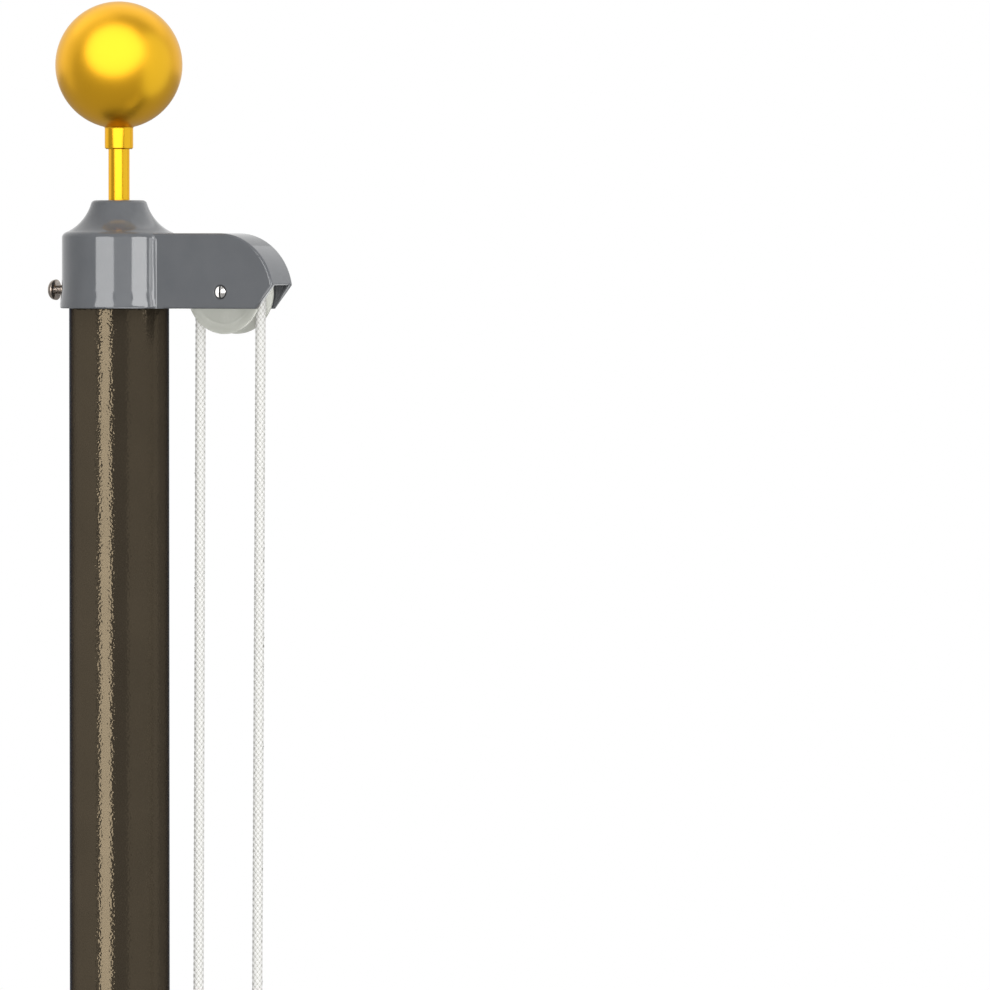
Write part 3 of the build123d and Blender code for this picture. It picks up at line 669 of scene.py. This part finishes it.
def pulley_turn():
    """Points of the half turn over the pulley, from the inner leg to the outer one."""
    turns = [math.pi * (1 - step / pulley_steps) for step in range(pulley_steps + 1)]
    return [axle + Vector((pitch_r * math.cos(t), -axle.y, pitch_r * math.sin(t))) for t in turns]


def fine_rope(name, line, cad_name):
    """A rope with modelled strands, standing for a CAD node."""
    piece = rope(name, line, fine_gap, fine_sides, relief_depth)
    return stand_for(piece, rope_fine, cad_name)


def plain_rope(name, line, cad_name):
    """A smooth rope with drawn strands, standing for a CAD node."""
    piece = rope(name, line, plain_gap, plain_sides, 0, plain_r)
    return stand_for(piece, rope_plain, cad_name)


inner_break = inner_top - inner_up * head_rope_run
outer_break = outer_top - outer_up * head_rope_run
head_line = [inner_break, *pulley_turn(), outer_break]

# The turns on the cleat leave each leg in line with it
second_point = inner_foot - inner_up * (cleat_route[1] - inner_foot).length
last_point = outer_foot - outer_up * (cleat_route[-2] - outer_foot).length
turn_line = smooth_line([inner_foot, second_point, *cleat_route[2:-2], last_point, outer_foot])

rope_pieces = [
    fine_rope("halyard_head", head_line, "halyard_over_pulley"),
    plain_rope("halyard_inner_run", [inner_foot, inner_break], "halyard_inner_leg"),
    plain_rope("halyard_outer_run", [outer_foot, outer_break], "halyard_outer_leg"),
    fine_rope("halyard_cleat_hitch", turn_line, "halyard_cleat_turns"),
]


def hitch_pieces(name):
    """A hitch of braided rope: a coil round the outer leg, and the bight that holds the hook."""
    low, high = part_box(name)
    along = outer_up
    across = (Vector((1, 0, 0)) - along * along.x).normalized()
    aside = along.cross(across)
    height = (low.z + high.z) / 2 - outer_foot.z
    middle = outer_foot + along * (height / along.z)

    def place(x, y, z):
        """A point by its distances off the hitch's middle: away from the pole, aside and up."""
        return middle + across * x + aside * y + along * z

    turns = [math.tau * (step / coil_steps - 0.5) * coil_turns + math.pi
             for step in range(coil_steps + 1)]
    coil = [place(coil_r * math.cos(t), coil_r * math.sin(t), (t - math.pi) / math.tau * coil_pitch)
            for t in turns]
    turns = [math.tau * step / bight_steps for step in range(bight_steps + 1)]
    ring = [place(bight_out - bight_r * math.cos(t), 0, bight_r * math.sin(t)) for t in turns]
    return [fine_rope(name + "_coil", coil, name), fine_rope(name + "_bight", ring, name)]


for hitch in ("hitch_lower", "hitch_upper"):
    rope_pieces += hitch_pieces(hitch)


# Truck screw's thread

def threaded(screw):
    """Thins a screw's shank, which lies along X, and puts a thread round it."""
    low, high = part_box("truck_screw")
    axis_z = (low.z + high.z) / 2
    shank = low.x + screw_head
    for vertex in screw.data.vertices:
        reach = math.hypot(vertex.co.y, vertex.co.z - axis_z)
        if vertex.co.x > shank - shank_margin and reach < thread_r + shank_margin:
            vertex.co.y *= thread_root / thread_r
            vertex.co.z = axis_z + (vertex.co.z - axis_z) * thread_root / thread_r
    ends = (shank - thread_overlap, high.x - bare_tip)
    line = [Vector((x, 0, axis_z)) for x in ends]
    thread = rope("truck_screw_thread", line, thread_pitch / thread_steps, thread_sides,
                  thread_r - thread_root, thread_r, thread_relief)
    return stand_for(thread, dark_steel, "truck_screw")


screw_thread = threaded(truck_screw)
small_pieces.append(screw_thread)


# Floor, light and camera

def lit_only(lamp, pieces):
    """Keeps a lamp's light to some pieces."""
    group = bpy.data.collections.new(lamp.name + "_lights")
    for piece in pieces:
        group.objects.link(piece)
    lamp.light_linking.receiver_collection = group


def shaded_only_by(pieces, lamp):
    """Lets only some pieces cast a lamp's shadows."""
    group = bpy.data.collections.new(lamp.name + "_shades")
    for piece in pieces:
        group.objects.link(piece)
    lamp.light_linking.blocker_collection = group


def towards(azimuth, elevation):
    """Direction by degrees to the right of the camera's side and degrees above level."""
    turn, rise = math.radians(azimuth), math.radians(elevation)
    level = view_back * math.cos(turn) + view_right * math.sin(turn)
    return level * math.cos(rise) + up * math.sin(rise)


def aimed_lamp(name, kind, azimuth, elevation, pieces, glossy=True):
    """A lamp in a direction, kept out of the camera's sight and perhaps out of reflections."""
    lamp = bpy.data.objects.new(name, bpy.data.lights.new(name, kind))
    bpy.context.scene.collection.objects.link(lamp)
    lamp.rotation_mode = "QUATERNION"
    lamp.rotation_quaternion = towards(azimuth, elevation).to_track_quat("Z", "Y")
    lamp.visible_camera = False
    lamp.visible_glossy = glossy
    if pieces:
        lit_only(lamp, pieces)
    return lamp


def distant_lamp(name, azimuth, elevation, width, strength, pieces=None, glossy=True):
    """A far round softbox of an apparent width in degrees."""
    lamp = aimed_lamp(name, "SUN", azimuth, elevation, pieces, glossy)
    lamp.data.energy = strength
    lamp.data.angle = math.radians(width)
    return lamp


def near_lamp(name, azimuth, elevation, distance, spread, radiance, centre, pieces):
    """An oval softbox near a place, that spans two angles there, in degrees, across and up. Its
    energy is its radiance times pi times its area."""
    lamp = aimed_lamp(name, "AREA", azimuth, elevation, pieces)
    lamp.location = centre + towards(azimuth, elevation) * distance
    lamp.data.shape = "ELLIPSE"
    sides = [2 * distance * math.tan(math.radians(angle) / 2) for angle in spread]
    lamp.data.size, lamp.data.size_y = sides
    lamp.data.energy = radiance * math.pi * math.pi / 4 * lamp.data.size * lamp.data.size_y
    return lamp


def mirror_only(lamp):
    """Lets a lamp show in reflections without lighting matt surfaces."""
    lamp.visible_diffuse = False
    return lamp


def pole_lamp(name, azimuth, width, strength):
    """A far softbox that shows only in the gloss of the tubes, with no shadow from other pieces."""
    lamp = mirror_only(distant_lamp(name, azimuth, 4, width, strength, tube_pieces))
    lamp.data.color = (1.0, 0.985, 0.91)
    shaded_only_by(tube_pieces, lamp)


def pale_floor():
    """A pale matt floor, dimmer where metal reflects it."""
    material = principled("pale_floor", (0.86, 0.86, 0.86), 0.9)
    mirrored = node(material, "ShaderNodeLightPath").outputs["Is Glossy Ray"]
    feed(material, "Base Color", ramp(material, mirrored, (0.86, 0.86, 0.86), (0.66, 0.66, 0.66)))
    return material


floor_work = bmesh.new()
bmesh.ops.create_circle(floor_work, cap_ends=True, segments=floor_segments, radius=floor_r)
floor = finished(floor_work, "floor")
floor.data.materials.append(pale_floor())

ball_low, ball_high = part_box("finial_ball")
ball_middle = (ball_low + ball_high) / 2
truck_middle = (truck_low + truck_high) / 2
metal_pieces = truck_pieces + small_pieces

# Far softboxes by azimuth, elevation, width and strength; the first lights all pieces
distant_lamp("soft_fill", 20, 65, 60, 1.1, glossy=False)
distant_lamp("left_strip", -29.2, 4, 38, 2.0, metal_pieces)
distant_lamp("right_strip", 41.6, 4, 33, 1.9, metal_pieces)
distant_lamp("middle_strip", 7.5, 4, 36, 0.25, truck_pieces)
pole_lamp("pole_strip", -32.5, 28.5, 1.8)
pole_lamp("pole_glow", 61, 82, 0.87)
pole_lamp("pole_left_glow", -109, 112, 1.95)
shaded_only_by(rope_pieces, distant_lamp("rope_light", 8, 20, 50, 1.85, rope_pieces))
distant_lamp("hook_light", 25, 25, 50, 1.25, hook_pieces)

# Near softboxes by azimuth, elevation, distance, spread and radiance, here for the gold pieces
near_lamp("gold_key", -9, 27, 0.5, (103, 97), 1.7, ball_middle, gold_pieces)
side_lamp = near_lamp("gold_side", 74, 1, 0.5, (62, 95), 0.55, ball_middle, gold_pieces)
side_lamp.data.color = (0.83, 1.0, 1.0)
near_lamp("gold_rim", -106, 31, 0.5, (40, 117), 0.3, ball_middle, gold_pieces)
near_lamp("gold_top", 0, 118, 0.5, (110, 40), 0.36, ball_middle, gold_pieces)

# Near softboxes for the truck and what it holds
near_lamp("nose_light", 118, 30, 0.6, (60, 90), 0.5, truck_middle, truck_pieces)
mirror_only(near_lamp("under_light", 20, -52, 1.2, (70, 60), 4.0, truck_middle, truck_pieces))
mirror_only(near_lamp("lip_light", 150, -30, 0.8, (60, 50), 1.5, truck_middle, truck_pieces))
pulley_lamp = near_lamp("pulley_light", 15, -10, 0.6, (80, 70), 3.15, truck_middle, pulley_pieces)
shaded_only_by(rope_pieces, pulley_lamp)
near_lamp("screw_light", -50, 10, 0.5, (58, 90), 3.2, truck_middle, [truck_screw, screw_thread])
mirror_only(near_lamp("axle_light", -78, 4, 0.6, (62, 80), 1.4, truck_middle, [axle_pin]))


def studio_world():
    """White behind the object for the camera and in reflections, dim on the camera's side, and a
    soft ambient light for matt surfaces."""
    ambient, dim, full_at = 0.35, 0.45, 0.75
    world = bpy.data.worlds.new("studio")
    bpy.context.scene.world = world
    world.use_nodes = True
    path = node(world, "ShaderNodeLightPath")
    aim = node(world, "ShaderNodeVectorMath", operation="DOT_PRODUCT")
    world.node_tree.links.new(node(world, "ShaderNodeTexCoord").outputs["Generated"], aim.inputs[0])
    aim.inputs[1].default_value = -view_back
    behind = node(world, "ShaderNodeMapRange", interpolation_type="SMOOTHSTEP")
    behind.inputs["From Min"].default_value = 0.0
    behind.inputs["From Max"].default_value = full_at
    behind.inputs["To Min"].default_value = dim
    world.node_tree.links.new(aim.outputs["Value"], behind.inputs["Value"])
    rays = [path.outputs[kind] for kind in ("Is Glossy Ray", "Is Transmission Ray")]
    mirrored = math_node(world, "MAXIMUM", *rays)
    change = math_node(world, "SUBTRACT", behind.outputs["Result"], ambient)
    seen = math_node(world, "MULTIPLY_ADD", mirrored, change, ambient)
    strength = math_node(world, "MAXIMUM", seen, path.outputs["Is Camera Ray"])
    world.node_tree.links.new(strength, world.node_tree.nodes["Background"].inputs["Strength"])
    world.node_tree.nodes["Background"].inputs["Color"].default_value = (1, 1, 1, 1)


studio_world()

head_point = Vector((0, 0, arm_top))
half_side = photo_side / 2
across_view = view_right * (half_side - axis_px) * pixel
aim_point = head_point + across_view - up * (half_side - arm_top_px) * pixel
camera_data = bpy.data.cameras.new("camera")
camera_data.sensor_width = sensor
camera_data.lens = sensor * camera_distance / (photo_side * pixel)
camera_data.clip_end = farthest_seen
camera = bpy.data.objects.new("camera", camera_data)
bpy.context.scene.collection.objects.link(camera)
camera.location = head_point + view_back * camera_distance
camera.rotation_mode = "QUATERNION"
camera.rotation_quaternion = (aim_point - camera.location).to_track_quat("-Z", "Y")
bpy.context.scene.camera = camera
bpy.context.scene.view_settings.view_transform = "Standard"
